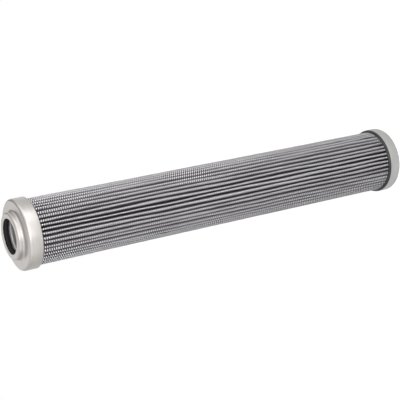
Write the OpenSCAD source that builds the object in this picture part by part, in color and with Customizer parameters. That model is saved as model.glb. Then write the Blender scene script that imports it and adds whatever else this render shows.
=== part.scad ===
// Pleated hydraulic filter element, standing on its closed end with the open neck upwards.
// The axis is +Z, and the origin is the middle of the closed cap's end face. Millimetres.

/* [Caps] */
// Outer diameter of both end caps
cap_d = 48; // [44:0.5:60]
// Length from the closed cap's end face to the open cap's face, without the neck
body_len = 302.4; // [160:0.2:400]
// Thickness of the sheet that both caps are drawn from
cap_sheet = 0.7; // [0.5:0.05:0.9]
// Height of the open cap's skirt
open_skirt_h = 9.6; // [8:0.1:14]
// Height of the closed cap's skirt
closed_skirt_h = 9.3; // [8:0.1:14]
// Outer corner radius of the open cap
open_corner_r = 1.8; // [1.2:0.1:2.4]
// Outer corner radius of the closed cap
closed_corner_r = 2.8; // [1.2:0.1:3.2]
// Depth of the round recess pressed into the closed cap
recess_h = 3; // [2.6:0.1:5]
// Inside bend radius at the top and the root of the recess
recess_bend_r = 0.5; // [0.3:0.05:0.7]

/* [Neck and seal] */
// Diameter of the mouth and of the collar that a spigot enters
mouth_d = 23.8; // [20:0.2:26]
// Thickness of the round seal
seal_section = 3.5; // [2.8:0.1:3.8]
// Height that the seal can float in its pocket
seal_float = 0.65; // [0.4:0.05:1.2]
// Distance that the seal stands into the mouth
seal_proud = 0.2; // [0.1:0.05:0.25]
// Outer corner radius of the neck's lip
lip_corner_r = 1.2; // [1:0.1:1.5]
// Fillet radius where the neck leaves the cap's face
neck_root_r = 1.5; // [1:0.1:1.6]
// Thickness of the seal retainer's sheet
retainer_sheet = 0.8; // [0.5:0.05:1]
// Inside bend radius between the retainer's flange and its collar
retainer_bend_r = 1; // [0.5:0.1:1.2]
// Length of the retainer, from the top of its flange to the end of its collar
retainer_len = 8; // [6:0.5:12]
// Width of resin outside the retainer's flange
flange_margin = 2.3; // [2.2:0.1:3]

/* [Core tube] */
// Wall of the core tube
core_wall = 1; // [0.6:0.1:1.3]
// Diameter of the holes in the core tube
core_hole_d = 6.5; // [4:0.5:7]
// Rows of holes along the core tube
core_rows = 14; // [8:1:16]
// Holes around the core tube in each row, always an even number
core_holes_round = 8; // [4:2:8]
// Plain stretch of tube between each end and the nearest hole
core_plain_end = 18; // [14:1:22]

/* [Pleated pack] */
// Number of folds around the pack
pleat_count = 46; // [30:1:48]
// Radial gap between the fold crowns and the skirts
skirt_gap = 0.9; // [0.7:0.1:1.6]
// Thickness of the outer wire cloth
outer_mesh_t = 0.2; // [0.12:0.01:0.24]
// Thickness of the outer fleece
outer_fleece_t = 0.08; // [0.05:0.01:0.1]
// Thickness of the filter medium
media_t = 0.18; // [0.12:0.01:0.22]
// Thickness of the inner fleece
inner_fleece_t = 0.08; // [0.05:0.01:0.1]
// Thickness of the inner wire cloth
inner_mesh_t = 0.14; // [0.1:0.01:0.18]
// Radius left inside each fold
fold_inside_r = 0.08; // [0.05:0.01:0.12]
// Thickness of the strip that closes the pack's side seam
seam_sheet = 0.3; // [0.2:0.05:0.4]
// Length of each leg of the seam strip
seam_leg = 3.2; // [2:0.1:4]

/* [Resin] */
// Depth of the resin poured into each cap
resin_h = 3.4; // [3.2:0.1:5]
// Radius of the resin bead that stands out over the closed cap's rim
bead_r = 2; // [1.6:0.1:2.6]
// Distance of the bead behind the skirt's outer face
bead_inset = 0.2; // [0.1:0.05:0.4]

/* [Fits] */
// Gap between pieces that are bonded or seated on each other
bond_gap = 0.05; // [0.02:0.01:0.08]
// Gap between neighbouring layers of the pack
layer_gap = 0.01; // [0.005:0.001:0.015]
// Radial gap of the core tube on the collar and on the recess
core_fit = 0.1; // [0.05:0.01:0.2]
// Radial gap between the core tube and the pack
pack_fit = 0.2; // [0.1:0.05:0.3]

/* [Hidden] */

$fn = 96;

// Open cap and neck
cap_r = cap_d / 2;
skirt_in_r = cap_r - cap_sheet;
mouth_r = mouth_d / 2;
seal_in_r = mouth_r - seal_proud;
seal_out_r = seal_in_r + seal_section;
neck_in_r = seal_out_r + bond_gap;
neck_r = neck_in_r + cap_sheet;
face_z = body_len;
face_under_z = face_z - cap_sheet;

// Retainer under the cap's face, and the seal's pocket above its flange
flange_z = face_under_z - bond_gap;
flange_under_z = flange_z - retainer_sheet;
collar_out_r = mouth_r + retainer_sheet;
collar_bend_z = flange_under_z - retainer_bend_r;
collar_end_z = flange_z - retainer_len;
flange_r = skirt_in_r - flange_margin;
lip_under_z = flange_z + seal_section + seal_float;
neck_top_z = lip_under_z + cap_sheet;
seal_z = (flange_z + lip_under_z) / 2;

// Core tube, held by the collar above and the pressed recess below
core_in_r = collar_out_r + core_fit;
core_out_r = core_in_r + core_wall;
core_top_z = collar_bend_z;
core_foot_z = cap_sheet + recess_bend_r;
recess_out_r = core_in_r - core_fit;

// Resin in both caps
closed_resin_top = cap_sheet + resin_h;
open_resin_foot = face_under_z - resin_h;

// Pleated pack. A depth is measured inwards from the outer cloth's outer face.
pitch = 360 / pleat_count;
outer_fleece_at = outer_mesh_t + layer_gap;
media_at = outer_fleece_at + outer_fleece_t + layer_gap;
inner_fleece_at = media_at + media_t + layer_gap;
inner_mesh_at = inner_fleece_at + inner_fleece_t + layer_gap;
pack_t = inner_mesh_at + inner_mesh_t;
fold_r = fold_inside_r + pack_t;
crown_r = skirt_in_r - skirt_gap;
crown_centre = crown_r - fold_r;
valley_centre = core_out_r + pack_fit + fold_r;
pack_foot = closed_resin_top + bond_gap;
pack_top = open_resin_foot - bond_gap;

// Resin squeezed up between the closed cap's skirt and the crowns, with its bead over the rim
ring_in_r = crown_r + bond_gap;
bead_out_r = cap_r - bead_inset;
bead_z = closed_skirt_h + bond_gap;

// The straight leg of a fold touches the crown's circle and the valley's circle on opposite sides
to_valley = [valley_centre * cos(pitch / 2) - crown_centre, valley_centre * sin(pitch / 2)];
leg_normal = atan2(to_valley.y, to_valley.x) - acos((fold_inside_r + fold_r) / norm(to_valley));
valley_half_turn = leg_normal - pitch / 2;
outer_crown_steps = 4;
crown_steps = 2;
valley_steps = 2;

function polar(r, a) = [r * cos(a), r * sin(a)];
function turned(p, a) = [p.x * cos(a) - p.y * sin(a), p.x * sin(a) + p.y * cos(a)];
function reversed(list) = [for (i = [len(list) - 1:-1:0]) list[i]];

// One point of the crown's arc and of the valley's arc, for the surface at a depth in the pack
function crown_point(depth, a) = [crown_centre, 0] + polar(fold_r - depth, a);
function valley_point(depth, a) = [valley_centre, 0] + polar(fold_inside_r + depth, 180 + a);

// A point on a straight leg, a height above the crown circle's tangent point, side +1 or -1
function leg_point(depth, rise, side) =
    crown_point(depth, side * leg_normal) + polar(rise, side * (leg_normal - 90));

// The surface at a depth, from one edge of the seam around all the folds to the other
function pleat_line(depth, steps) = concat(
    [leg_point(depth, seam_rise, 1)],
    [for (i = [0:pleat_count - 1]) each concat(
        [for (k = [0:valley_steps])
            turned(valley_point(depth, valley_half_turn * (1 - 2 * k / valley_steps)), (i + 0.5) * pitch)],
        i == pleat_count - 1 ? [] :
        [for (k = [0:steps]) turned(crown_point(depth, leg_normal * (2 * k / steps - 1)), (i + 1) * pitch)])],
    [leg_point(depth, seam_rise, -1)]);

// Seam strip, with its back level with the crowns, over the pack's two free edges
seam_back = crown_r - seam_sheet;
seam_rise = seam_back - bond_gap - crown_centre;

// Quarter ring of sheet with its bend centre at [r, z], opening towards the quadrant [qx, qz]
module sheet_bend(centre, inside_r, sheet, qx, qz)
    translate(centre) intersection() {
        difference() {
            circle(r = inside_r + sheet);
            circle(r = inside_r);
        }
        scale([qx, qz]) square(inside_r + sheet);
    }

// Rectangle between two radii and two heights
module band(r0, r1, z0, z1) translate([r0, z0]) square([r1 - r0, z1 - z0]);

// Rectangle between two radii and two heights, rounded where r1 meets z_round
module rounded_band(r0, r1, z_round, z_flat, corner_r) {
    up = sign(z_flat - z_round);
    z_bend = z_round + up * corner_r;
    band(r0, r1 - corner_r, min(z_round, z_flat), max(z_round, z_flat));
    band(r0, r1, min(z_bend, z_flat), max(z_bend, z_flat));
    translate([r1 - corner_r, z_bend]) intersection() {
        circle(r = corner_r);
        scale([1, -up]) square(corner_r);
    }
}

module pleated_layer(depth, thickness, steps)
    translate([0, 0, pack_foot]) linear_extrude(pack_top - pack_foot)
        polygon(concat(pleat_line(depth, steps), reversed(pleat_line(depth + thickness, steps))));

// Drawn cap with the rolled neck that holds the seal
module open_end_cap() color("#cbc8c4") rotate_extrude() {
    band(skirt_in_r, cap_r, face_z - open_skirt_h, face_z - open_corner_r);
    sheet_bend([cap_r - open_corner_r, face_z - open_corner_r], open_corner_r - cap_sheet, cap_sheet, 1, 1);
    band(neck_r + neck_root_r, cap_r - open_corner_r, face_under_z, face_z);
    sheet_bend([neck_r + neck_root_r, face_z + neck_root_r], neck_root_r, cap_sheet, -1, -1);
    band(neck_in_r, neck_r, face_z + neck_root_r, neck_top_z - lip_corner_r);
    sheet_bend([neck_r - lip_corner_r, neck_top_z - lip_corner_r], lip_corner_r - cap_sheet, cap_sheet, 1, 1);
    band(mouth_r + cap_sheet / 2, neck_r - lip_corner_r, lip_under_z, neck_top_z);
    translate([mouth_r + cap_sheet / 2, lip_under_z + cap_sheet / 2]) circle(d = cap_sheet);
}

// Round rubber seal in the neck's pocket
module seal_ring() color("#1f1d1e") rotate_extrude()
    translate([seal_in_r + seal_section / 2, seal_z]) circle(d = seal_section);

// Pressed ring whose flange is the pocket's floor and whose collar guides the spigot and the core tube
module seal_retainer() color("#b9b7b3") rotate_extrude() {
    band(collar_out_r + retainer_bend_r, flange_r, flange_under_z, flange_z);
    sheet_bend([collar_out_r + retainer_bend_r, collar_bend_z], retainer_bend_r, retainer_sheet, -1, 1);
    band(mouth_r, collar_out_r, collar_end_z, collar_bend_z);
}

// Resin around the top of the core tube, under the flange and out to the skirt
module open_end_resin() color("#2b2a2c") rotate_extrude() difference() {
    rounded_band(core_out_r + bond_gap, skirt_in_r - bond_gap, face_under_z - bond_gap, open_resin_foot,
                 open_corner_r - cap_sheet);
    band(0, flange_r + bond_gap, flange_under_z - bond_gap, face_z);
}

// Folded layers, from the outside in
module outer_mesh() color("#b4b2b4") pleated_layer(0, outer_mesh_t, outer_crown_steps);
module outer_fleece() color("#e4e1da") pleated_layer(outer_fleece_at, outer_fleece_t, crown_steps);
module filter_media() color("#f0eee6") pleated_layer(media_at, media_t, crown_steps);
module inner_fleece() color("#e4e1da") pleated_layer(inner_fleece_at, inner_fleece_t, crown_steps);
module inner_mesh() color("#a9a7a9") pleated_layer(inner_mesh_at, inner_mesh_t, crown_steps);

// Crimped channel over the two edges of the folded pack
module seam_strip() color("#bdbbb7") translate([0, 0, pack_foot]) linear_extrude(pack_top - pack_foot)
    polygon(concat(
        [for (side = [-1, 1]) leg_point(-bond_gap - seam_sheet, (side + 1) / 2 * (seam_leg + seam_rise) - seam_leg, -1)],
        [[crown_r, -fold_r], [crown_r, fold_r]],
        [for (side = [1, -1]) leg_point(-bond_gap - seam_sheet, (side + 1) / 2 * (seam_leg + seam_rise) - seam_leg, 1)],
        [leg_point(-bond_gap, -seam_leg, 1), [seam_back, leg_point(-bond_gap, seam_rise, 1).y],
         [seam_back, leg_point(-bond_gap, seam_rise, -1).y], leg_point(-bond_gap, -seam_leg, -1)]));

// Perforated tube that keeps the pack from collapsing; every cutter makes two facing holes
module core_tube() color("#9d9b98") difference() {
    translate([0, 0, core_foot_z]) cylinder(r = core_out_r, h = core_top_z - core_foot_z);
    translate([0, 0, core_foot_z - 1]) cylinder(r = core_in_r, h = core_top_z - core_foot_z + 2);
    for (row = [0:core_rows - 1], k = [0:core_holes_round / 2 - 1])
        translate([0, 0, core_row_z(row)]) rotate([90, 0, (k + (row % 2) / 2) * 360 / core_holes_round])
            cylinder(d = core_hole_d, h = 2 * core_out_r + 2, center = true);
}

core_first_z = core_foot_z + core_plain_end + core_hole_d / 2;
core_last_z = core_top_z - core_plain_end - core_hole_d / 2;
function core_row_z(row) = core_first_z + row * (core_last_z - core_first_z) / (core_rows - 1);

// Resin around the foot of the core tube, out to the skirt and up between the skirt and the crowns
module closed_end_resin() color("#2b2a2c") rotate_extrude() {
    rounded_band(core_out_r + bond_gap, skirt_in_r - bond_gap, cap_sheet + bond_gap, closed_resin_top,
                 closed_corner_r - cap_sheet);
    band(ring_in_r, skirt_in_r - bond_gap, closed_resin_top, bead_z);
    intersection() {
        translate([bead_out_r - bead_r, bead_z]) circle(r = bead_r);
        band(ring_in_r, bead_out_r, bead_z, bead_z + bead_r);
    }
}

// Drawn blind cap whose pressed recess centres the core tube
module closed_end_cap() color("#c6c4c0") rotate_extrude() {
    band(skirt_in_r, cap_r, closed_corner_r, closed_skirt_h);
    sheet_bend([cap_r - closed_corner_r, closed_corner_r], closed_corner_r - cap_sheet, cap_sheet, 1, -1);
    band(recess_out_r + recess_bend_r, cap_r - closed_corner_r, 0, cap_sheet);
    sheet_bend([recess_out_r + recess_bend_r, cap_sheet + recess_bend_r], recess_bend_r, cap_sheet, -1, -1);
    band(recess_out_r - cap_sheet, recess_out_r, cap_sheet + recess_bend_r, recess_h - recess_bend_r);
    sheet_bend([recess_out_r - cap_sheet - recess_bend_r, recess_h - recess_bend_r], recess_bend_r, cap_sheet, 1, 1);
    band(0, recess_out_r - cap_sheet - recess_bend_r, recess_h, recess_h + cap_sheet);
}

open_end_cap();
seal_ring();
seal_retainer();
open_end_resin();
outer_mesh();
outer_fleece();
filter_media();
inner_fleece();
inner_mesh();
seam_strip();
core_tube();
closed_end_resin();
closed_end_cap();
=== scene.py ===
"""Pleated hydraulic filter element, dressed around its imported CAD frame.

The element stands on its closed end. The camera lies on its side, as in the photograph, and looks at the
element from the side away from the pack's seam. The element's lengths are written in millimetres and turned
to metres where they are used. Those of the floor and the lamps are in metres.
"""
import logging
import math
from dataclasses import dataclass, field
from enum import Enum
from typing import Any, Sequence

import bpy
from bpy.types import Material, Mesh, Node, NodeSocket, NodeTree
from mathutils import Matrix, Vector


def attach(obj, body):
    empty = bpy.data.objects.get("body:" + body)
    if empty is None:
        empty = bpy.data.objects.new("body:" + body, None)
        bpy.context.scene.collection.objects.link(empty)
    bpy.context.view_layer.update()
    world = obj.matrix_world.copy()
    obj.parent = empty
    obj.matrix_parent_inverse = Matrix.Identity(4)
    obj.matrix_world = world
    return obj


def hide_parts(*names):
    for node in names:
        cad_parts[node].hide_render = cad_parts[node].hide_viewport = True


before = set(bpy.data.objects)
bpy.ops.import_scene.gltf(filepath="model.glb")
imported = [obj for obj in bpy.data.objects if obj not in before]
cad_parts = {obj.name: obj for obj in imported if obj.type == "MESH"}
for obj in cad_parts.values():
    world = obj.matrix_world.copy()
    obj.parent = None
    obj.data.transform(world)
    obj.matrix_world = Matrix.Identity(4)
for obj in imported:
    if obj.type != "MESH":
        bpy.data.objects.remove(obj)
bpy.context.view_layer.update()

Point = tuple[float, float]
Span = tuple[float, float]
Direction = tuple[float, float, float]
MM = 0.001
WHITE = "#ffffff"
# Multiplied with a place, this keeps the part of it across the element's axis
ACROSS_AXIS = (1, 1, 0)
# Nearly all values of a noise texture lie in this span
NOISE_SPAN = (0.3, 0.7)
# No edge turns more than this, in degrees: the wires are so thin that all of theirs are smoothed
NO_SHARP_EDGE = 179.0

# Nodes that are used again and again. Inputs of the Mix node: 0 is its factor, 2 and 3 are its two numbers,
# and 6 and 7 are its two colours.
MATH = "ShaderNodeMath"
VECTOR = "ShaderNodeVectorMath"
MIX = "ShaderNodeMix"
MAP_RANGE = "ShaderNodeMapRange"
NOISE = "ShaderNodeTexNoise"
JOIN = "ShaderNodeCombineXYZ"
SPLIT = "ShaderNodeSeparateXYZ"

log = logging.getLogger("filter_element")


def linear(colour: str) -> tuple[float, float, float, float]:
    """Turn an sRGB hex colour to linear red, green, blue and alpha.

    Args:
        colour: the colour as "#rrggbb".

    Returns:
        Four linear values, the last of them 1.
    """
    parts = [int(colour[i:i + 2], 16) / 255 for i in (1, 3, 5)]
    return (*(p / 12.92 if p <= 0.04045 else ((p + 0.055) / 1.055) ** 2.4 for p in parts), 1.0)


def add_node(tree: NodeTree, kind: str, inputs: dict[int | str, Any] | None = None, output: int | str = 0,
             **settings: Any) -> NodeSocket:
    """Add a node with its settings, values and links.

    Args:
        tree: the node tree that takes it.
        kind: Blender's name of the node.
        inputs: a value, or the socket to link from, by input name or number.
        output: the output to give back, by name or number.
        settings: properties of the node.

    Returns:
        The chosen output, or the first input where the node has no output.
    """
    node = tree.nodes.new(kind)
    for name, value in settings.items():
        setattr(node, name, value)
    for key, value in (inputs or {}).items():
        if isinstance(value, NodeSocket):
            tree.links.new(value, node.inputs[key])
        else:
            node.inputs[key].default_value = value
    return node.outputs[output] if node.outputs else node.inputs[0]


def ramp(value: NodeSocket, start: Span, end: Span = (0.0, 1.0)) -> dict[int | str, Any]:
    """Name the inputs that map one span of values to another.

    Args:
        value: what is mapped.
        start: the span that it is mapped from.
        end: the span that it is mapped to.

    Returns:
        The inputs by name.
    """
    return {"Value": value, "From Min": start[0], "From Max": start[1], "To Min": end[0], "To Max": end[1]}


def empty_tree(owner: Material | bpy.types.World) -> NodeTree:
    """Give a material or the world an empty node tree.

    Args:
        owner: what the tree belongs to.

    Returns:
        The tree.
    """
    owner.use_nodes = True
    owner.node_tree.nodes.clear()
    return owner.node_tree


def ray_kinds(tree: NodeTree) -> tuple[NodeSocket, NodeSocket]:
    """Tell how a ray sees a surface.

    Args:
        tree: the nodes that ask.

    Returns:
        Whether the camera sees it, and whether it is seen in a reflection or through glass.
    """
    path = add_node(tree, "ShaderNodeLightPath").node.outputs
    mirrored = add_node(tree, MATH, {0: path["Is Glossy Ray"], 1: path["Is Transmission Ray"]},
                        operation="MAXIMUM")
    return path["Is Camera Ray"], mirrored


@dataclass(frozen=True)
class ElementSizes:
    """Sizes of the element in millimetres, as in the part's source."""

    cap_r: float = 24.0
    face_z: float = 302.4
    sheet: float = 0.7
    open_skirt_h: float = 9.6
    closed_skirt_h: float = 9.3
    open_corner_r: float = 1.8
    closed_corner_r: float = 2.8
    recess_h: float = 3.0
    recess_bend_r: float = 0.5
    recess_out_r: float = 12.7
    mouth_r: float = 11.9
    neck_in_r: float = 15.25
    lip_under_z: float = 305.8
    lip_corner_r: float = 1.2
    neck_root_r: float = 1.5
    seal_section: float = 3.5
    seal_in_r: float = 11.7
    seal_z: float = 303.725
    retainer_sheet: float = 0.8
    retainer_bend_r: float = 1.0
    flange_r: float = 21.0
    flange_z: float = 301.65
    collar_end_z: float = 293.65
    pack_foot: float = 4.15
    pack_top: float = 298.25
    fold_count: int = 46
    fold_r: float = 0.80
    fold_inside_r: float = 0.08
    crown_centre: float = 21.6
    valley_centre: float = 14.8
    seam_rise: float = 0.45
    outer_mesh_t: float = 0.2
    layer_gap: float = 0.01

    @property
    def neck_r(self) -> float:
        """Outer radius of the neck."""
        return self.neck_in_r + self.sheet

    @property
    def neck_top_z(self) -> float:
        """Height of the neck's top."""
        return self.lip_under_z + self.sheet

    @property
    def leg_normal(self) -> float:
        """Find where a straight leg leaves the arc of its crown.

        Returns:
            Half the angle of the crown's arc, in radians.
        """
        half = math.pi / self.fold_count
        x = self.valley_centre * math.cos(half) - self.crown_centre
        y = self.valley_centre * math.sin(half)
        return math.atan2(y, x) - math.acos((self.fold_inside_r + self.fold_r) / math.hypot(x, y))


SIZES = ElementSizes()


@dataclass(frozen=True)
class Finish:
    """A real material and how its surface was made: its plain colour, and the two tones of its pattern."""

    name: str
    colour: str
    low: str
    high: str
    roughness: float
    metallic: float = 0.0

    def material(self) -> Material:
        """Make the finish's material.

        Returns:
            The new material.
        """
        made = bpy.data.materials.new(self.name)
        tree = empty_tree(made)
        surface = add_node(tree, "ShaderNodeBsdfPrincipled", {
            "Base Color": linear(self.colour), "Roughness": self.roughness, "Metallic": self.metallic})
        add_node(tree, "ShaderNodeOutputMaterial", {"Surface": surface})
        self.dress(tree, surface.node)
        return made

    def dress(self, tree: NodeTree, shader: Node) -> None:
        """Add the surface's pattern to the shader; a plain finish has none."""

    def tones(self, tree: NodeTree, pattern: NodeSocket) -> NodeSocket:
        """Mix the two tones by a pattern.

        Args:
            tree: the material's nodes.
            pattern: a value from 0 to 1.

        Returns:
            The colour.
        """
        return add_node(tree, MIX, {0: pattern, 6: linear(self.low), 7: linear(self.high)}, output=2,
                        data_type="RGBA")

    def cover(self, tree: NodeTree, shader: Node, pattern: NodeSocket, relief: NodeSocket,
              depth_mm: float) -> None:
        """Colour the surface by a pattern and raise it by a relief.

        Args:
            tree: the material's nodes.
            shader: its surface shader.
            pattern: noise that chooses between the two tones.
            relief: height of the relief, from 0 to 1.
            depth_mm: its whole depth.
        """
        tone = add_node(tree, MAP_RANGE, ramp(pattern, NOISE_SPAN))
        tree.links.new(self.tones(tree, tone), shader.inputs["Base Color"])
        bump = add_node(tree, "ShaderNodeBump", {
            "Strength": 1.0, "Distance": depth_mm * MM, "Height": relief})
        tree.links.new(bump, shader.inputs["Normal"])


@dataclass(frozen=True)
class DrawnSteel(Finish):
    """Sheet steel drawn in a press: satin, with fine lines around its axis that the tool left."""

    metallic: float = 1.0
    line_mm: float = 0.5
    line_depth_mm: float = 0.003
    # Radius of the ring on which the noise of the lines is read: the smaller it is, the longer they are
    line_ring_r: float = 1.2
    line_span: Span = (0.25, 0.75)
    patch_mm: float = 14.0
    patch_share: float = 0.4
    satin: Span = (0.32, 0.48)

    def dress(self, tree: NodeTree, shader: Node) -> None:
        """Draw the tool's lines around the axis and broad faint patches.

        Args:
            tree: the material's nodes.
            shader: its surface shader.
        """
        place = add_node(tree, "ShaderNodeTexCoord", output="Object")
        flat = add_node(tree, VECTOR, {0: place, 1: ACROSS_AXIS}, operation="MULTIPLY")
        radius = add_node(tree, VECTOR, {0: flat}, output="Value", operation="LENGTH")
        around = add_node(tree, VECTOR, {0: flat}, operation="NORMALIZE")
        height = add_node(tree, SPLIT, {0: place}, output="Z")
        # Radius grows along the face and height falls along the skirt: their difference runs along the sheet
        along = add_node(tree, MATH, {0: height, 1: radius}, operation="SUBTRACT")
        lines_at = add_node(tree, MATH, {0: along, 1: 1 / (self.line_mm * MM)}, operation="MULTIPLY")
        lift = add_node(tree, JOIN, {"Z": lines_at})
        turned = add_node(tree, VECTOR, {0: around, 1: (self.line_ring_r, self.line_ring_r, 0), 2: lift},
                          operation="MULTIPLY_ADD")
        lines = add_node(tree, NOISE, {"Vector": turned, "Scale": 1.0, "Detail": 3.0, "Roughness": 0.65})
        patches = add_node(tree, NOISE, {"Vector": place, "Scale": 1 / (self.patch_mm * MM), "Detail": 2.0})
        both = add_node(tree, MIX, {0: self.patch_share, 2: lines, 3: patches}, data_type="FLOAT")
        rough = add_node(tree, MAP_RANGE, ramp(lines, self.line_span, self.satin))
        tree.links.new(rough, shader.inputs["Roughness"])
        self.cover(tree, shader, both, lines, self.line_depth_mm)


@dataclass(frozen=True)
class GrainedFinish(Finish):
    """A moulded, cast or felted surface with one grain in its colour and its height."""

    grain_mm: float = 0.4
    grain_depth_mm: float = 0.02

    def dress(self, tree: NodeTree, shader: Node) -> None:
        """Draw the grain.

        Args:
            tree: the material's nodes.
            shader: its surface shader.
        """
        place = add_node(tree, "ShaderNodeTexCoord", output="Object")
        grain = add_node(tree, NOISE, {"Vector": place, "Scale": 1 / (self.grain_mm * MM), "Detail": 3.0})
        self.cover(tree, shader, grain, grain, self.grain_depth_mm)


@dataclass(frozen=True)
class FoldedFinish(GrainedFinish):
    """Surface of the folded pack: its own tones on the crowns, darkened by painted shade towards the bottom
    of the folds.
    """

    # Painted shade: its colour low in the folds, the radius out from which there is none, and the radius in
    # from which it is full, in millimetres
    painted_shade: str = "#443d43"
    unshaded_r: float = 22.1
    full_shade_r: float = 20.6

    def tones(self, tree: NodeTree, pattern: NodeSocket) -> NodeSocket:
        """Mix the two tones by the grain and darken them with painted shade towards the bottom of the fold.

        Args:
            tree: the material's nodes.
            pattern: the grain, from 0 to 1.

        Returns:
            The colour.
        """
        place = add_node(tree, "ShaderNodeTexCoord", output="Object")
        flat = add_node(tree, VECTOR, {0: place, 1: ACROSS_AXIS}, operation="MULTIPLY")
        radius = add_node(tree, VECTOR, {0: flat}, output="Value", operation="LENGTH")
        # Painted shade: 1 on the crowns, falling to 0 towards the bottom of the fold, where the shade colour
        # takes over
        unshaded = add_node(tree, MAP_RANGE, ramp(radius, (self.full_shade_r * MM, self.unshaded_r * MM)))
        grain = super().tones(tree, pattern)
        return add_node(tree, MIX, {0: unshaded, 6: linear(self.painted_shade), 7: grain}, output=2, data_type="RGBA")


# Tin plate, drawn: pale, with soft reflections drawn out across the tool's lines; its slight warmth is
# painted warm light
WARM_LIT_TIN_PLATE = DrawnSteel("tin_plate_drawn", "#bab6b2", "#b0adaa", "#c2beba", 0.35)
# The same plate on the blind cap: a neutral grey, as its reflections show it in the photograph
COOL_TIN_PLATE = DrawnSteel("tin_plate_drawn_cool", "#b8b8b7", "#b0b0af", "#c2c2c0", 0.35, line_mm=0.9)
# Zinc-plated steel, pressed: greyer than the caps, so the ring behind the seal reads as another piece
ZINC_PLATE = DrawnSteel("zinc_plate_pressed", "#b4b2b0", "#a5a3a1", "#bfbdbb", 0.45, metallic=0.6,
                        line_mm=0.6, satin=(0.4, 0.55))
# Plain steel tube, rolled and perforated: darker, a little oily
ROLLED_STEEL = DrawnSteel("plain_steel_rolled", "#8d8a87", "#7c7976", "#98958f", 0.4, line_mm=1.2,
                          satin=(0.35, 0.5))
# Galvanised strip, crimped: dull silver
CRIMPED_STRIP = DrawnSteel("galvanised_strip_crimped", "#b3b1ae", "#9f9d9b", "#bebcb9", 0.4,
                           satin=(0.35, 0.5))
# Nitrile rubber, moulded: matt black with a faint bloom, so the seal keeps a soft edge light
NITRILE = GrainedFinish("nitrile_rubber_moulded", "#110e11", "#0d0a0d", "#151215", 0.8, grain_mm=0.3,
                        grain_depth_mm=0.01)
# Epoxy resin, cast: near black, smooth and slightly wavy
CAST_RESIN = GrainedFinish("epoxy_resin_cast", "#1b1a1c", "#151416", "#242325", 0.3, grain_mm=2.5,
                           grain_depth_mm=0.05)
# Galvanised wire, woven: bright on every crest, which makes the rows of light points along the crowns;
# painted shade darkens it down the folds
WIRE = FoldedFinish("galvanised_wire_woven", "#eeecef", "#e6e4e8", "#fbfafc", 0.45, metallic=0.2,
                    grain_mm=1.8, grain_depth_mm=0.01, painted_shade="#6e696e", unshaded_r=22.15, full_shade_r=21.0)
# The wires along the element: a duller tone than the crossing wires, and darkened down the folds by painted
# shade
DULL_WIRE = FoldedFinish("galvanised_wire_straight", "#c0bec2", "#b4b2b7", "#cccacd", 0.45, metallic=0.2,
                         grain_mm=1.8, grain_depth_mm=0.01, painted_shade="#4c474c", unshaded_r=22.3, full_shade_r=21.45)
# Polyester fleece, spun: soiled dark grey, so the bright wires stand out as rows of points; painted shade
# darkens it further down the folds
FLEECE = FoldedFinish("polyester_fleece_spun", "#373539", "#2e2c30", "#413f43", 0.9, grain_mm=0.25,
                      grain_depth_mm=0.03)
# Glass fibre felt: off-white, hidden between the fleeces
GLASS_FELT = GrainedFinish("glass_fibre_felt", "#dcdad0", "#cfcdc2", "#e6e4dc", 0.95, grain_mm=0.2,
                           grain_depth_mm=0.03)


def arc(centre: Point, radius: float, start: float, end: float, steps: int) -> list[Point]:
    """Points on an arc of an outline, both ends included.

    Args:
        centre: its centre, as radius and height in millimetres.
        radius: its radius.
        start: its first angle in degrees, 0 outwards and 90 upwards.
        end: its last angle.
        steps: how many chords it has.

    Returns:
        The points in order.
    """
    angles = [math.radians(start + (end - start) * i / steps) for i in range(steps + 1)]
    return [(centre[0] + radius * math.cos(a), centre[1] + radius * math.sin(a)) for a in angles]


def new_piece(name: str, mesh: Mesh, finish: Material, node: str, sharp_degrees: float = 40.0) -> None:
    """Put a mesh in the scene as the piece that stands for a CAD node.

    Args:
        name: the piece's name.
        mesh: its mesh, in metres in the row frame.
        finish: its material.
        node: the CAD node that it replaces.
        sharp_degrees: edges that turn more than this stay sharp.
    """
    mesh.name = name
    mesh.materials.clear()
    mesh.materials.append(finish)
    mesh.shade_smooth()
    mesh.set_sharp_from_angle(angle=math.radians(sharp_degrees))
    piece = bpy.data.objects.new(name, mesh)
    bpy.context.scene.collection.objects.link(piece)
    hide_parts(node)
    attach(piece, "root")
    log.info("%s: %d faces, stands for %s", name, len(mesh.polygons), node)


def dress_node(node: str, finish: Finish) -> None:
    """Give a CAD node that stays in view its finish.

    Args:
        node: the node.
        finish: its finish.
    """
    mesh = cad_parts[node].data
    mesh.materials.clear()
    mesh.materials.append(finish.material())
    log.info("%s: CAD piece kept, finish %s", node, finish.name)


def turned_mesh(outline: Sequence[Point], segments: int) -> Mesh:
    """Turn a closed outline around the axis.

    Args:
        outline: radius and height in millimetres, in order, with the material on the left hand.
        segments: facets around the axis.

    Returns:
        A closed mesh in metres, with its faces outwards.
    """
    rings = [(r * MM, z * MM) for r, z in outline]
    verts: list[tuple[float, float, float]] = []
    ids: list[list[int]] = []
    for r, z in rings:
        first = len(verts)
        count = segments if r > 0 else 1
        verts += [(r * math.cos(a), r * math.sin(a), z)
                  for a in (2 * math.pi * i / segments for i in range(count))]
        ids.append([first + i % count for i in range(segments)])
    faces = []
    for here, after in zip(ids, ids[1:] + ids[:1]):
        for i in range(segments):
            j = (i + 1) % segments
            corners = list(dict.fromkeys((here[i], here[j], after[j], after[i])))
            if len(corners) > 2:
                faces.append(corners)
    mesh = bpy.data.meshes.new("turned")
    mesh.from_pydata(verts, [], faces)
    mesh.validate()
    return mesh


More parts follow.
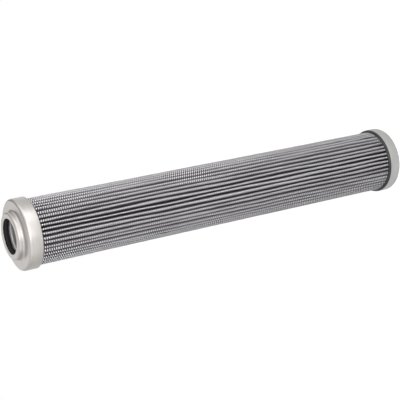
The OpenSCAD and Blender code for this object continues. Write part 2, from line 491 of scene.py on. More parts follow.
class GeometryTree:
    """A Geometry Nodes tree with named inputs, run once to make a plain mesh."""

    def __init__(self, name: str, inputs: dict[str, float | int]) -> None:
        """Start the tree.

        Args:
            name: the tree's name.
            inputs: each input's name and value; whole numbers make whole-number inputs.
        """
        self.tree = bpy.data.node_groups.new(name, "GeometryNodeTree")
        self.values = inputs
        self.identifiers: dict[str, str] = {}
        sockets = self.tree.interface
        for key, value in inputs.items():
            kind = "NodeSocketInt" if isinstance(value, int) else "NodeSocketFloat"
            self.identifiers[key] = sockets.new_socket(key, in_out="INPUT", socket_type=kind).identifier
        material = sockets.new_socket("Material", in_out="INPUT", socket_type="NodeSocketMaterial")
        self.identifiers["Material"] = material.identifier
        sockets.new_socket("Geometry", in_out="OUTPUT", socket_type="NodeSocketGeometry")
        self.inputs = self.tree.nodes.new("NodeGroupInput")

    def __getitem__(self, key: str) -> NodeSocket:
        """The socket of a named input."""
        return self.inputs.outputs[key]

    def add(self, kind: str, inputs: dict[int | str, Any] | None = None, output: int | str = 0,
            **settings: Any) -> NodeSocket:
        """Add a node to this tree, as add_node does."""
        return add_node(self.tree, kind, inputs, output, **settings)

    def mesh(self, geometry: NodeSocket, finish: Material) -> Mesh:
        """End the tree, run it and turn its result to a plain mesh.

        Args:
            geometry: the last geometry socket.
            finish: the material that the tree sets.

        Returns:
            The mesh.
        """
        whole = self.add("GeometryNodeRealizeInstances", {0: geometry})
        dressed = self.add("GeometryNodeSetMaterial", {"Geometry": whole, "Material": self["Material"]})
        self.add("NodeGroupOutput", {0: dressed})
        carrier = bpy.data.objects.new("carrier", bpy.data.meshes.new("carrier"))
        bpy.context.scene.collection.objects.link(carrier)
        modifier = carrier.modifiers.new("tree", "NODES")
        modifier.node_group = self.tree
        for key, value in self.values.items():
            modifier[self.identifiers[key]] = value
        modifier[self.identifiers["Material"]] = finish
        evaluated = carrier.evaluated_get(bpy.context.evaluated_depsgraph_get())
        mesh = bpy.data.meshes.new_from_object(evaluated)
        carrier.modifiers.remove(modifier)
        bpy.data.objects.remove(carrier)
        return mesh


@dataclass(frozen=True)
class FoldRule:
    """The rule that all layers of the pack follow: crown arc, straight leg, valley arc, straight leg."""

    sizes: ElementSizes
    crown_steps: int = 6
    valley_steps: int = 1
    wave_deg: float = 1.3
    # Radius of the ring on which the sway's noise is read, so that one unit of it is about one fold wide
    wave_ring_r: float = 7.0
    wave_length_mm: float = 60.0
    # Cosines of the angles from the seam at which the sway begins and is full
    seam_hold: Span = (0.99, 0.9)
    seed: float = 3.0

    def inputs(self, depth_mm: float) -> dict[str, float | int]:
        """Inputs of a tree that uses the rule.

        Args:
            depth_mm: depth of the layer under the pack's outer face.

        Returns:
            Names and values.
        """
        s = self.sizes
        return {
            "Folds": s.fold_count, "Crown steps": self.crown_steps, "Valley steps": self.valley_steps,
            "Crown centre": s.crown_centre * MM, "Crown radius": (s.fold_r - depth_mm) * MM,
            "Valley centre": s.valley_centre * MM, "Valley radius": (s.fold_inside_r + depth_mm) * MM,
            "Leg normal": s.leg_normal, "Valley half turn": s.leg_normal - math.pi / s.fold_count,
            "Seam rise": s.seam_rise * MM, "Wave": math.radians(self.wave_deg), "Wave ring": self.wave_ring_r,
            "Wave length": self.wave_length_mm * MM, "Seed": self.seed}

    def contour(self, t: GeometryTree, leg_cuts: int = 0) -> NodeSocket:
        """Draw the contour of a layer as one open curve, from one edge at the seam around to the other.

        Args:
            t: the tree.
            leg_cuts: extra points on each straight leg.

        Returns:
            The curve.
        """
        # Each fold has the points of its valley and of its crown. The seam takes the last crown's place: only
        # that crown's first and last points are left, one at each free edge.
        crown_points = t.add(MATH, {0: t["Crown steps"], 1: 1.0}, operation="ADD")
        valley_points = t.add(MATH, {0: t["Valley steps"], 1: 1.0}, operation="ADD")
        period = t.add(MATH, {0: crown_points, 1: valley_points}, operation="ADD")
        all_periods = t.add(MATH, {0: t["Folds"], 1: period}, operation="MULTIPLY")
        less_one = t.add(MATH, {0: all_periods, 1: crown_points}, operation="SUBTRACT")
        count = t.add(MATH, {0: less_one, 1: 2.0}, operation="ADD")
        line = t.add("GeometryNodeCurvePrimitiveLine")
        points = t.add("GeometryNodeResampleCurve", {"Curve": line, "Count": count}, mode="COUNT")
        index = t.add("GeometryNodeInputIndex")
        after_first = t.add(MATH, {0: index, 1: 1.0}, operation="SUBTRACT")
        periods = t.add(MATH, {0: after_first, 1: period}, operation="DIVIDE")
        fold = t.add(MATH, {0: periods}, operation="FLOOR")
        step = t.add(MATH, {0: after_first, 1: period}, operation="FLOORED_MODULO")
        on_valley = t.add(MATH, {0: step, 1: valley_points}, operation="LESS_THAN")
        on_crown = t.add(MATH, {0: 1.0, 1: on_valley}, operation="SUBTRACT")

        # Each point lies on the circle of its crown or of its valley
        crown_step = t.add(MATH, {0: step, 1: valley_points}, operation="SUBTRACT")
        crown_part = t.add(MATH, {0: crown_step, 1: t["Crown steps"]}, operation="DIVIDE")
        crown_part = t.add(MATH, {0: crown_part, 1: 2.0, 2: -1.0}, operation="MULTIPLY_ADD")
        crown_angle = t.add(MATH, {0: crown_part, 1: t["Leg normal"]}, operation="MULTIPLY")
        valley_part = t.add(MATH, {0: step, 1: t["Valley steps"]}, operation="DIVIDE")
        valley_part = t.add(MATH, {0: valley_part, 1: -2.0, 2: 1.0}, operation="MULTIPLY_ADD")
        valley_angle = t.add(MATH, {0: valley_part, 1: t["Valley half turn"], 2: math.pi},
                             operation="MULTIPLY_ADD")
        angle = t.add(MIX, {0: on_crown, 2: valley_angle, 3: crown_angle})
        radius = t.add(MIX, {0: on_crown, 2: t["Valley radius"], 3: t["Crown radius"]})
        centre = t.add(MIX, {0: on_crown, 2: t["Valley centre"], 3: t["Crown centre"]})
        cosine = t.add(MATH, {0: angle}, operation="COSINE")
        sine = t.add(MATH, {0: angle}, operation="SINE")
        x = t.add(MATH, {0: cosine, 1: radius, 2: centre}, operation="MULTIPLY_ADD")
        y = t.add(MATH, {0: sine, 1: radius}, operation="MULTIPLY")
        local = t.add(JOIN, {"X": x, "Y": y})

        # A valley lies half a pitch before its crown
        half_folds = t.add(MATH, {0: on_crown, 1: 0.5, 2: 0.5}, operation="MULTIPLY_ADD")
        folds = t.add(MATH, {0: fold, 1: half_folds}, operation="ADD")
        pitch = t.add(MATH, {0: 2 * math.pi, 1: t["Folds"]}, operation="DIVIDE")
        turn = t.add(MATH, {0: folds, 1: pitch}, operation="MULTIPLY")
        on_ring = t.add("ShaderNodeVectorRotate", {"Vector": local, "Angle": turn}, rotation_type="Z_AXIS")
        place = t.add(VECTOR, {0: on_ring, 1: self.edge_rise(t, index, count)}, operation="ADD")
        if leg_cuts:
            ends_crown = t.add("FunctionNodeCompare", {0: crown_step, 1: t["Crown steps"], "Epsilon": 0.1},
                               operation="EQUAL", data_type="FLOAT")
            ends_valley = t.add("FunctionNodeCompare", {0: step, 1: t["Valley steps"], "Epsilon": 0.1},
                                operation="EQUAL", data_type="FLOAT")
            on_leg = t.add("FunctionNodeBooleanMath", {0: ends_crown, 1: ends_valley}, operation="OR")
            cuts = t.add(MATH, {0: on_leg, 1: float(leg_cuts)}, operation="MULTIPLY")
            points = t.add("GeometryNodeStoreNamedAttribute", {
                "Geometry": points, "Name": "leg_cuts", "Value": cuts}, data_type="INT", domain="POINT")
        curve = t.add("GeometryNodeSetPosition", {"Geometry": points, "Position": place})
        if leg_cuts:
            stored = t.add("GeometryNodeInputNamedAttribute", {"Name": "leg_cuts"}, data_type="INT")
            curve = t.add("GeometryNodeSubdivideCurve", {"Curve": curve, "Cuts": stored})
        return curve

    def edge_rise(self, t: GeometryTree, index: NodeSocket, count: NodeSocket) -> NodeSocket:
        """Let the two free edges rise along their legs into the seam strip.

        Args:
            t: the tree.
            index: number of each point, from 0.
            count: how many points there are.

        Returns:
            The offset, which is nothing away from the edges.
        """
        # Point numbers are compared half a step off, because they are whole numbers kept as fractions
        last = t.add(MATH, {0: count, 1: 1.5}, operation="SUBTRACT")
        at_end = t.add(MATH, {0: index, 1: last}, operation="GREATER_THAN")
        at_start = t.add(MATH, {0: index, 1: 0.5}, operation="LESS_THAN")
        side = t.add(MATH, {0: at_end, 1: at_start}, operation="SUBTRACT")
        at_edge = t.add(MATH, {0: at_start, 1: at_end}, operation="ADD")
        lean_x = t.add(MATH, {0: t["Leg normal"]}, operation="SINE")
        lean_y = t.add(MATH, {0: t["Leg normal"]}, operation="COSINE")
        rise_x = t.add(MATH, {0: lean_x, 1: at_edge}, operation="MULTIPLY")
        rise_y = t.add(MATH, {0: lean_y, 1: side}, operation="MULTIPLY")
        rise = t.add(JOIN, {"X": rise_x, "Y": rise_y})
        return t.add(VECTOR, {0: rise, "Scale": t["Seam rise"]}, operation="SCALE")

    def waved(self, t: GeometryTree, geometry: NodeSocket) -> NodeSocket:
        """Sway the folds a little around the axis, as hand-spread folds do, and leave the seam where it is.

        Args:
            t: the tree.
            geometry: what is swayed.

        Returns:
            The swayed geometry.
        """
        place = t.add("GeometryNodeInputPosition")
        flat = t.add(VECTOR, {0: place, 1: ACROSS_AXIS}, operation="MULTIPLY")
        around = t.add(VECTOR, {0: flat}, operation="NORMALIZE")
        ring = t.add(VECTOR, {0: around, "Scale": t["Wave ring"]}, operation="SCALE")
        height = t.add(SPLIT, {0: place}, output="Z")
        lengths = t.add(MATH, {0: height, 1: t["Wave length"]}, operation="DIVIDE")
        lift = t.add(JOIN, {"Z": lengths})
        at = t.add(VECTOR, {0: ring, 1: lift}, operation="ADD")
        noise = t.add(NOISE, {"Vector": at, "W": t["Seed"], "Scale": 1.0, "Detail": 1.0},
                      noise_dimensions="4D")
        sway = t.add(MAP_RANGE, ramp(noise, NOISE_SPAN, (-1.0, 1.0)))
        east = t.add(SPLIT, {0: around}, output="X")
        free = t.add(MAP_RANGE, ramp(east, self.seam_hold))
        amount = t.add(MATH, {0: sway, 1: free}, operation="MULTIPLY")
        angle = t.add(MATH, {0: amount, 1: t["Wave"]}, operation="MULTIPLY")
        moved = t.add("ShaderNodeVectorRotate", {"Vector": place, "Angle": angle}, rotation_type="Z_AXIS")
        return t.add("GeometryNodeSetPosition", {"Geometry": geometry, "Position": moved})


@dataclass
class FoldedLayer:
    """One soft layer of the pack: a sheet that follows the fold rule between the two caps."""

    node: str
    finish: Finish
    depth: float
    thickness: float
    rule: FoldRule
    rows: int = 10

    def build(self) -> None:
        """Build the layer as a closed sheet."""
        s = self.rule.sizes
        t = GeometryTree(self.node + "_fold", {
            **self.rule.inputs(self.depth + self.thickness / 2), "Height": (s.pack_top - s.pack_foot) * MM,
            "Foot": s.pack_foot * MM, "Thickness": self.thickness * MM, "Rows": self.rows})
        contour = self.rule.contour(t)
        middle = t.add(MATH, {0: t["Height"], 1: 0.5, 2: t["Foot"]}, operation="MULTIPLY_ADD")
        offset = t.add(JOIN, {"Z": middle})
        contour = t.add("GeometryNodeSetPosition", {"Geometry": contour, "Offset": offset})
        profile = t.add("GeometryNodeCurvePrimitiveQuadrilateral", {
            "Width": t["Thickness"], "Height": t["Height"]}, mode="RECTANGLE")
        # Every second side of the section is a tall one, and only those are cut in rows
        index = t.add("GeometryNodeInputIndex")
        tall = t.add(MATH, {0: index, 1: 2.0}, operation="MODULO")
        cuts = t.add(MATH, {0: tall, 1: t["Rows"]}, operation="MULTIPLY")
        profile = t.add("GeometryNodeSubdivideCurve", {"Curve": profile, "Cuts": cuts})
        sheet = t.add("GeometryNodeCurveToMesh", {
            "Curve": contour, "Profile Curve": profile, "Fill Caps": True})
        sheet = self.rule.waved(t, sheet)
        finish = self.finish.material()
        new_piece(self.node + "_folded", t.mesh(sheet, finish), finish, self.node)


class WireRun(Enum):
    """Which of the cloth's straight wires a tree makes: those on the crowns or those on the legs."""

    CROWNS = "crown_warp"
    LEGS = "leg_warp"


@dataclass
class WovenCloth:
    """Outer wire cloth: wires that follow every fold, and wires along the element that cross them.

    The wires that follow the folds are thicker than real ones, so that their crests show as light points.
    """

    rule: FoldRule
    finish: Finish = WIRE
    long_finish: Finish = DULL_WIRE
    spacing: float = 1.5875
    wire_r: float = 0.3
    long_wire_r: float = 0.13
    wire_sides: int = 3
    weave: float = 0.03
    depth: float = 0.19
    bands: int = 4
    # Points along each wire on the legs, which doesn't weave
    leg_rows: int = 24
    # A wire is on a crown where it stands further out from the crown's centre than this share of its radius
    crown_band: float = 0.5

    @property
    def wire_rows(self) -> int:
        """How many wires follow the folds."""
        return int((self.rule.sizes.pack_top - self.rule.sizes.pack_foot) / self.spacing)

    @property
    def first_z(self) -> float:
        """Height of the lowest of those wires."""
        s = self.rule.sizes
        return (s.pack_foot + s.pack_top - (self.wire_rows - 1) * self.spacing) / 2

    def inputs(self, wire_r: float, weave: float) -> dict[str, float | int]:
        """Inputs that the trees of both kinds of wire share.

        Args:
            wire_r: the wire's radius.
            weave: how far the wire goes to either side of the cloth's middle.

        Returns:
            Names and values.
        """
        return {**self.rule.inputs(self.depth), "Spacing": self.spacing * MM,
                "First height": self.first_z * MM, "Wire radius": wire_r * MM, "Weave": weave * MM,
                "Wire sides": self.wire_sides}

    def build(self) -> None:
        """Weave the cloth, in pieces that are each small enough to be kept whole."""
        finish, long_finish = self.finish.material(), self.long_finish.material()
        edges = [round(self.wire_rows * i / self.bands) for i in range(self.bands + 1)]
        for number, (low, high) in enumerate(zip(edges, edges[1:]), start=1):
            self.fold_wires(finish, number, low, high - low)
        for run in WireRun:
            self.long_wires(long_finish, run)

    def zigzag(self, t: GeometryTree, along: NodeSocket, across: NodeSocket,
               normal: NodeSocket) -> NodeSocket:
        """Offset that takes a wire over one crossing wire and under the next.

        Args:
            t: the tree.
            along: number of the crossing along this wire.
            across: number of this wire.
            normal: direction out of the cloth.

        Returns:
            The offset vector.
        """
        both = t.add(MATH, {0: along, 1: across}, operation="ADD")
        odd = t.add(MATH, {0: both, 1: 2.0}, operation="FLOORED_MODULO")
        sign = t.add(MATH, {0: odd, 1: 2.0, 2: -1.0}, operation="MULTIPLY_ADD")
        amount = t.add(MATH, {0: sign, 1: t["Weave"]}, operation="MULTIPLY")
        return t.add(VECTOR, {0: normal, "Scale": amount}, operation="SCALE")

    def wire_piece(self, name: str, t: GeometryTree, wires: NodeSocket, finish: Material,
                   section_turn: float = 0.0) -> None:
        """Sway the wires of a tree, give them their section and make them a piece.

        Args:
            name: the end of the piece's name.
            t: the tree.
            wires: the wires' middle lines.
            finish: their material.
            section_turn: how far their section is turned, in radians.
        """
        wires = self.rule.waved(t, wires)
        section = t.add("GeometryNodeCurvePrimitiveCircle", {
            "Resolution": t["Wire sides"], "Radius": t["Wire radius"]}, mode="RADIUS")
        section = t.add("GeometryNodeTransform", {"Geometry": section, "Rotation": (0, 0, section_turn)})
        tubes = t.add("GeometryNodeCurveToMesh", {
            "Curve": wires, "Profile Curve": section, "Fill Caps": True})
        new_piece("outer_cloth_" + name, t.mesh(tubes, finish), finish, "outer_mesh", NO_SHARP_EDGE)

    def fold_wires(self, finish: Material, number: int, first: int, rows: int) -> None:
        """Make one band of the wires that follow the folds.

        Args:
            finish: the wire's material.
            number: the band's number.
            first: its first wire.
            rows: how many wires it has.
        """
        t = GeometryTree(f"fold_wires_{number}", {
            **self.inputs(self.wire_r, self.weave), "Rows": rows, "First row": first})
        contour = self.rule.contour(t, leg_cuts=1)
        start = t.add(MATH, {0: t["First row"], 1: t["Spacing"], 2: t["First height"]},
                      operation="MULTIPLY_ADD")
        start = t.add(JOIN, {"Z": start})
        step = t.add(JOIN, {"Z": t["Spacing"]})
        heights = t.add("GeometryNodeMeshLine", {
            "Count": t["Rows"], "Start Location": start, "Offset": step}, mode="OFFSET")
        wires = t.add("GeometryNodeInstanceOnPoints", {"Points": heights, "Instance": contour})
        wires = t.add("GeometryNodeRealizeInstances", {0: wires})
        crossing = t.add("GeometryNodeSplineParameter", output="Index")
        height = t.add(SPLIT, {0: t.add("GeometryNodeInputPosition")}, output="Z")
        above = t.add(MATH, {0: height, 1: t["First height"]}, operation="SUBTRACT")
        row = t.add(MATH, {0: above, 1: t["Spacing"]}, operation="DIVIDE")
        row = t.add(MATH, {0: row}, operation="ROUND")
        offset = self.zigzag(t, crossing, row, t.add("GeometryNodeInputNormal"))
        wires = t.add("GeometryNodeSetPosition", {"Geometry": wires, "Offset": offset})
        # One of the section's three faces lies outwards, so that the crests are broad
        self.wire_piece(f"folds_{number}", t, wires, finish, math.pi)

    def long_wires(self, finish: Material, run: WireRun) -> None:
        """Make the wires along the element, on the crowns or on the legs.

        Args:
            finish: the wire's material.
            run: which of them.
        """
        s = self.rule.sizes
        on_crowns = run is WireRun.CROWNS
        last_z = self.first_z + (self.wire_rows - 1) * self.spacing
        t = GeometryTree(run.value, {
            **self.inputs(self.long_wire_r, self.weave if on_crowns else 0.0),
            "Rows": self.wire_rows if on_crowns else self.leg_rows, "Last height": last_z * MM,
            "Crown band": (s.crown_centre + self.crown_band * s.fold_r) * MM})
        contour = self.rule.contour(t)
        feet = t.add("GeometryNodeResampleCurve", {"Curve": contour, "Length": t["Spacing"]}, mode="LENGTH")
        for name, source, kind in (("outwards", "GeometryNodeInputNormal", "FLOAT_VECTOR"),
                                   ("wire", "GeometryNodeInputIndex", "INT")):
            feet = t.add("GeometryNodeStoreNamedAttribute", {
                "Geometry": feet, "Name": name, "Value": t.add(source)}, data_type=kind, domain="POINT")
        radius = t.add(VECTOR, {0: t.add("GeometryNodeInputPosition")}, output="Value", operation="LENGTH")
        chosen = t.add("FunctionNodeCompare", {0: radius, 1: t["Crown band"]}, data_type="FLOAT",
                       operation="GREATER_THAN" if on_crowns else "LESS_EQUAL")
        low = t.add(JOIN, {"Z": t["First height"]})
        high = t.add(JOIN, {"Z": t["Last height"]})
        wire = t.add("GeometryNodeCurvePrimitiveLine", {"Start": low, "End": high})
        wire = t.add("GeometryNodeResampleCurve", {"Curve": wire, "Count": t["Rows"]}, mode="COUNT")
        wires = t.add("GeometryNodeInstanceOnPoints", {"Points": feet, "Selection": chosen, "Instance": wire})
        wires = t.add("GeometryNodeRealizeInstances", {0: wires})
        crossing = t.add("GeometryNodeSplineParameter", output="Index")
        number = t.add("GeometryNodeInputNamedAttribute", {"Name": "wire"}, data_type="INT")
        outwards = t.add("GeometryNodeInputNamedAttribute", {"Name": "outwards"}, data_type="FLOAT_VECTOR")
        offset = self.zigzag(t, crossing, number, outwards)
        wires = t.add("GeometryNodeSetPosition", {"Geometry": wires, "Offset": offset})
        self.wire_piece(run.value, t, wires, finish)


@dataclass
class PleatedPack:
    """The folded pack: wire cloth outside, three soft layers, wire cloth inside, and the seam strip."""

    sizes: ElementSizes = SIZES
    # Node, finish and thickness of the layers under the outer cloth, from the outside in
    layers: tuple[tuple[str, Finish, float], ...] = (
        ("outer_fleece", FLEECE, 0.08), ("filter_media", GLASS_FELT, 0.18), ("inner_fleece", FLEECE, 0.08),
        ("inner_mesh", WIRE, 0.14))
    rule: FoldRule = field(init=False)
    soft_rule: FoldRule = field(init=False)

    def __post_init__(self) -> None:
        """Take the fold rules of the wires and of the soft layers from the sizes."""
        self.rule = FoldRule(self.sizes)
        self.soft_rule = FoldRule(self.sizes, valley_steps=3)

    def build(self) -> None:
        """Build the cloth and the layers under it, and dress the seam strip."""
        WovenCloth(self.rule).build()
        depth = self.sizes.outer_mesh_t
        for node, finish, thickness in self.layers:
            depth += self.sizes.layer_gap
            FoldedLayer(node, finish, depth, thickness, self.soft_rule).build()
            depth += thickness
        dress_node("seam_strip", CRIMPED_STRIP)


@dataclass
class CappedEnd:
    """What both ends share: their sizes, the facets around the axis and the rounding of the cap's edge."""

    sizes: ElementSizes = SIZES
    segments: int = 160
    rim_r: float = 0.2

    def turn(self, name: str, outline: Sequence[Point], finish: Finish, node: str) -> None:
        """Turn an outline around the axis, as the piece that stands for a CAD node.

        Args:
            name: the piece's name.
            outline: its outline.
            finish: its finish.
            node: the CAD node.
        """
        new_piece(name, turned_mesh(outline, self.segments), finish.material(), node)


@dataclass
class OpenEnd(CappedEnd):
    """Open cap with its neck, the seal in the neck, the seal's retainer and the resin under it."""

    def cap_outline(self) -> list[Point]:
        """Outline of the drawn cap.

        Returns:
            Radius and height of each point, in order.
        """
        s = self.sizes
        corner = (s.cap_r - s.open_corner_r, s.face_z - s.open_corner_r)
        root = (s.neck_r + s.neck_root_r, s.face_z + s.neck_root_r)
        lip = (s.neck_r - s.lip_corner_r, s.neck_top_z - s.lip_corner_r)
        end = (s.mouth_r + s.sheet / 2, s.lip_under_z + s.sheet / 2)
        rim_z = s.face_z - s.open_skirt_h
        return (arc((s.cap_r - self.rim_r, rim_z + self.rim_r), self.rim_r, -90, 0, 4)
                + arc(corner, s.open_corner_r, 0, 90, 10)
                + arc(root, s.neck_root_r, 270, 180, 10)
                + arc(lip, s.lip_corner_r, 0, 90, 8)
                + arc(end, s.sheet / 2, 90, 270, 8)
                + arc(lip, s.lip_corner_r - s.sheet, 90, 0, 6)
                + arc(root, s.neck_root_r + s.sheet, 180, 270, 10)
                + arc(corner, s.open_corner_r - s.sheet, 90, 0, 8)
                + arc((s.cap_r - s.sheet + self.rim_r, rim_z + self.rim_r), self.rim_r, 180, 270, 4))

    def retainer_outline(self) -> list[Point]:
        """Outline of the seal's retainer.

        Returns:
            Radius and height of each point, in order.
        """
        s = self.sizes
        sheet = s.retainer_sheet
        bend = (s.mouth_r + sheet + s.retainer_bend_r, s.flange_z - sheet - s.retainer_bend_r)
        half = sheet / 2
        return (arc((s.flange_r - half, s.flange_z - half), half, -90, 90, 8)
                + arc(bend, s.retainer_bend_r + sheet, 90, 180, 12)
                + arc((s.mouth_r + half, s.collar_end_z + half), half, 180, 360, 8)
                + arc(bend, s.retainer_bend_r, 180, 90, 10))

    def seal_outline(self) -> list[Point]:
        """Outline of the round seal.

        Returns:
            Radius and height of each point, in order.
        """
        half = self.sizes.seal_section / 2
        return arc((self.sizes.seal_in_r + half, self.sizes.seal_z), half, 0, 360, 36)[:-1]

    def build(self) -> None:
        """Build the cap, the retainer and the seal, and dress the resin."""
        self.turn("open_cap_drawn", self.cap_outline(), WARM_LIT_TIN_PLATE, "open_end_cap")
        self.turn("retainer_pressed", self.retainer_outline(), ZINC_PLATE, "seal_retainer")
        self.turn("seal_moulded", self.seal_outline(), NITRILE, "seal_ring")
        dress_node("open_end_resin", CAST_RESIN)


@dataclass
class ClosedEnd(CappedEnd):
    """Blind cap with its pressed recess, and the resin inside it."""

    def cap_outline(self) -> list[Point]:
        """Outline of the drawn cap, from its middle outwards and back inside.

        Returns:
            Radius and height of each point, in order.
        """
        s = self.sizes
        bend_r = s.recess_bend_r
        corner = (s.cap_r - s.closed_corner_r, s.closed_corner_r)
        foot = (s.recess_out_r + bend_r, s.sheet + bend_r)
        top = (s.recess_out_r - s.sheet - bend_r, s.recess_h - bend_r)
        rim_z = s.closed_skirt_h - self.rim_r
        return ([(0.0, s.recess_h)]
                + arc(top, bend_r, 90, 0, 6)
                + arc(foot, bend_r + s.sheet, 180, 270, 8)
                + arc(corner, s.closed_corner_r, -90, 0, 12)
                + arc((s.cap_r - self.rim_r, rim_z), self.rim_r, 0, 90, 4)
                + arc((s.cap_r - s.sheet + self.rim_r, rim_z), self.rim_r, 90, 180, 4)
                + arc(corner, s.closed_corner_r - s.sheet, 0, -90, 10)
                + arc(foot, bend_r, 270, 180, 6)
                + arc(top, bend_r + s.sheet, 0, 90, 8)
                + [(0.0, s.recess_h + s.sheet)])

    def build(self) -> None:
        """Build the cap and dress the resin."""
        self.turn("closed_cap_drawn", self.cap_outline(), COOL_TIN_PLATE, "closed_end_cap")
        dress_node("closed_end_resin", CAST_RESIN)


class LampUse(Enum):
    """What a lamp does, as its visibility to diffuse and to glossy rays."""

    EVERYTHING = (True, True)
    REFLECTIONS = (False, True)


@dataclass(frozen=True)
class Lamp:
    """A square soft lamp that hangs around the open end and faces the element's middle.

    Its azimuth runs in degrees from +X towards +Y, and its elevation in degrees over the open end. Its
    distance and its side are in metres, and a brightness of 1 is the white of the surroundings.
    """

    name: str
    azimuth: float
    elevation: float
    distance: float
    size: float
    brightness: float
    use: LampUse = LampUse.EVERYTHING

    def hang(self) -> None:
        """Put the lamp in the scene."""
        data = bpy.data.lights.new(self.name, "AREA")
        data.shape = "SQUARE"
        data.size = self.size
        data.energy = self.brightness * math.pi * self.size ** 2
        lamp = bpy.data.objects.new(self.name, data)
        turn, rise = math.radians(self.azimuth), math.radians(self.elevation)
        at = Vector((0, 0, SIZES.face_z * MM)) + self.distance * Vector((
            math.cos(rise) * math.cos(turn), math.cos(rise) * math.sin(turn), math.sin(rise)))
        aim = Vector((0, 0, SIZES.face_z * MM / 2)) - at
        lamp.matrix_world = Matrix.Translation(at) @ aim.to_track_quat("-Z", "Y").to_matrix().to_4x4()
        lamp.visible_diffuse, lamp.visible_glossy = self.use.value
        bpy.context.scene.collection.objects.link(lamp)


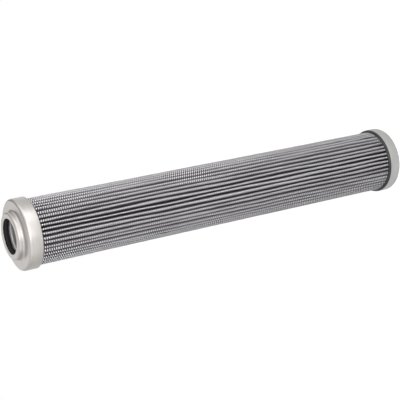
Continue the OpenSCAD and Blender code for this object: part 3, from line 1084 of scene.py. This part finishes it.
@dataclass
class Studio:
    """Camera, floor, lamps and world."""

    focal_px: float = 1154.84
    image_px: float = 400.0
    sensor_mm: float = 36.0
    # What is nearer or farther than this, in metres, isn't drawn
    clip: Span = (0.01, 20.0)
    # The element's axis from its open to its closed end, and the open face's middle, in the photograph's
    # view: to the right, down and away, the second in millimetres
    axis_in_view: Direction = (0.860825, -0.181468, 0.475446)
    face_in_view: Direction = (-120.061, 23.017, 750.831)
    floor_r: float = 0.6
    floor_sides: int = 96
    floor_colour: str = "#d8d8d8"
    floor_glow: float = 0.88
    floor_mirrored_glow: float = 0.42
    # Light on matt surfaces: strong from the camera's side, faint from behind, none from between. Each span
    # holds the cosines of the angles from fill_from at which its light begins and is full.
    fill_from: Direction = (-0.99, -0.13, 0.06)
    fill_light: float = 2.85
    fill_span: Span = (0.45, 0.98)
    fill_behind: float = 0.6
    behind_span: Span = (-0.5, -0.9)
    # The unlit gap in the studio, which draws the dark line along the open cap's rim. Each span runs from
    # lit to unlit, in parts of a direction of length 1: beside the gap's middle, towards it, and upwards.
    gap_azimuth: float = -30.0
    gap_light: float = 0.1
    gap_beside: Span = (0.28, 0.12)
    gap_ahead: Span = (0.1, 0.35)
    gap_above: Span = (-0.12, 0.08)
    # The side away from the lamps, on which the element lies in the photograph, and the cosines of the
    # angles from it at which the shade begins and is full
    shade_azimuth: float = 55.0
    shade_light: float = 0.75
    shade_span: Span = (0.6, 0.95)
    lamps: tuple[Lamp, ...] = (
        Lamp("key", -130, -17, 0.75, 0.5, 2.0),
        Lamp("front", 180, 2, 1.4, 1.1, 1.5),
        Lamp("wide", 122, 0, 1.5, 1.3, 0.5, LampUse.REFLECTIONS),
        Lamp("side", -107, 21, 1.0, 0.6, 1.0, LampUse.REFLECTIONS),
        Lamp("back", 4, 34, 1.5, 0.8, 0.3, LampUse.REFLECTIONS),
        Lamp("near", -172, 16, 0.45, 0.45, 1.0))

    def camera(self) -> None:
        """Set the camera where the photograph was taken from."""
        down_axis = Vector(self.axis_in_view).normalized()
        up = -down_axis
        away = (Vector((0, 0, 1)) - down_axis * down_axis.z).normalized()
        side = up.cross(away)
        origin = Vector(self.face_in_view) * MM + down_axis * SIZES.face_z * MM
        to_row = Matrix((away, side, up))
        turn = to_row @ Matrix(((1, 0, 0), (0, -1, 0), (0, 0, -1)))
        data = bpy.data.cameras.new("photo_camera")
        data.sensor_fit = "HORIZONTAL"
        data.sensor_width = self.sensor_mm
        data.lens = self.focal_px * self.sensor_mm / self.image_px
        data.clip_start, data.clip_end = self.clip
        camera = bpy.data.objects.new("photo_camera", data)
        camera.matrix_world = Matrix.Translation(-(to_row @ origin)) @ turn.to_4x4()
        bpy.context.scene.collection.objects.link(camera)
        bpy.context.scene.camera = camera

    def floor(self) -> None:
        """Lay the pale round floor. It shows white, and darker where the element shades it."""
        angles = [2 * math.pi * i / self.floor_sides for i in range(self.floor_sides)]
        rim = [(self.floor_r * math.cos(a), self.floor_r * math.sin(a), 0) for a in angles]
        mesh = bpy.data.meshes.new("floor")
        mesh.from_pydata(rim, [], [list(range(self.floor_sides))])
        made = bpy.data.materials.new("floor_paint")
        tree = empty_tree(made)
        paint = add_node(tree, "ShaderNodeBsdfDiffuse", {"Color": linear(self.floor_colour)})
        seen, mirrored = ray_kinds(tree)
        lift = add_node(tree, MATH, {0: mirrored, 1: self.floor_mirrored_glow}, operation="MULTIPLY")
        lift = add_node(tree, MATH, {0: seen, 1: self.floor_glow, 2: lift}, operation="MULTIPLY_ADD")
        glow = add_node(tree, "ShaderNodeEmission", {"Color": linear(WHITE), "Strength": lift})
        both = add_node(tree, "ShaderNodeAddShader", {0: paint, 1: glow})
        add_node(tree, "ShaderNodeOutputMaterial", {"Surface": both})
        mesh.materials.append(made)
        floor = bpy.data.objects.new("floor", mesh)
        bpy.context.scene.collection.objects.link(floor)

    def world(self) -> None:
        """Surround the element with plain white, and light its matt surfaces as the photograph's are lit."""
        world = bpy.data.worlds.new("studio")
        tree = empty_tree(world)
        toward = add_node(tree, "ShaderNodeTexCoord", output="Generated")
        gap_at, shade_at = math.radians(self.gap_azimuth), math.radians(self.shade_azimuth)
        directions = ((-math.sin(gap_at), math.cos(gap_at), 0), (math.cos(gap_at), math.sin(gap_at), 0),
                      (math.cos(shade_at), math.sin(shade_at), 0), self.fill_from)
        across, ahead, under, side = (
            add_node(tree, VECTOR, {0: toward, 1: way}, output="Value", operation="DOT_PRODUCT")
            for way in directions)
        beside = add_node(tree, MATH, {0: across}, operation="ABSOLUTE")
        height = add_node(tree, SPLIT, {0: toward}, output="Z")
        beside = add_node(tree, MAP_RANGE, ramp(beside, self.gap_beside))
        ahead = add_node(tree, MAP_RANGE, ramp(ahead, self.gap_ahead))
        above = add_node(tree, MAP_RANGE, ramp(height, self.gap_above))
        gap = add_node(tree, MATH, {0: beside, 1: ahead}, operation="MULTIPLY")
        gap = add_node(tree, MATH, {0: gap, 1: above}, operation="MULTIPLY")
        shade = add_node(tree, MAP_RANGE, ramp(under, self.shade_span, (1.0, self.shade_light)))
        around = add_node(tree, MIX, {0: gap, 2: shade, 3: self.gap_light})
        front = add_node(tree, MAP_RANGE, ramp(side, self.fill_span, (0.0, self.fill_light)))
        back = add_node(tree, MAP_RANGE, ramp(side, self.behind_span, (0.0, self.fill_behind)))
        fill = add_node(tree, MATH, {0: front, 1: back}, operation="ADD")
        seen, mirrored = ray_kinds(tree)
        lit = add_node(tree, MIX, {0: mirrored, 2: fill, 3: around})
        strength = add_node(tree, MIX, {0: seen, 2: lit, 3: 1.0})
        plain = add_node(tree, "ShaderNodeBackground", {"Color": linear(WHITE), "Strength": strength})
        add_node(tree, "ShaderNodeOutputWorld", {"Surface": plain})
        bpy.context.scene.world = world

    def build(self) -> None:
        """Set up the whole studio."""
        self.camera()
        self.floor()
        self.world()
        for lamp in self.lamps:
            lamp.hang()
        bpy.context.scene.view_settings.view_transform = "Standard"


def main() -> None:
    """Build the studio and the element."""
    logging.basicConfig(level=logging.INFO, format="%(name)s: %(message)s")
    Studio().build()
    PleatedPack().build()
    OpenEnd().build()
    ClosedEnd().build()
    dress_node("core_tube", ROLLED_STEEL)


if __name__ == "__main__":
    main()
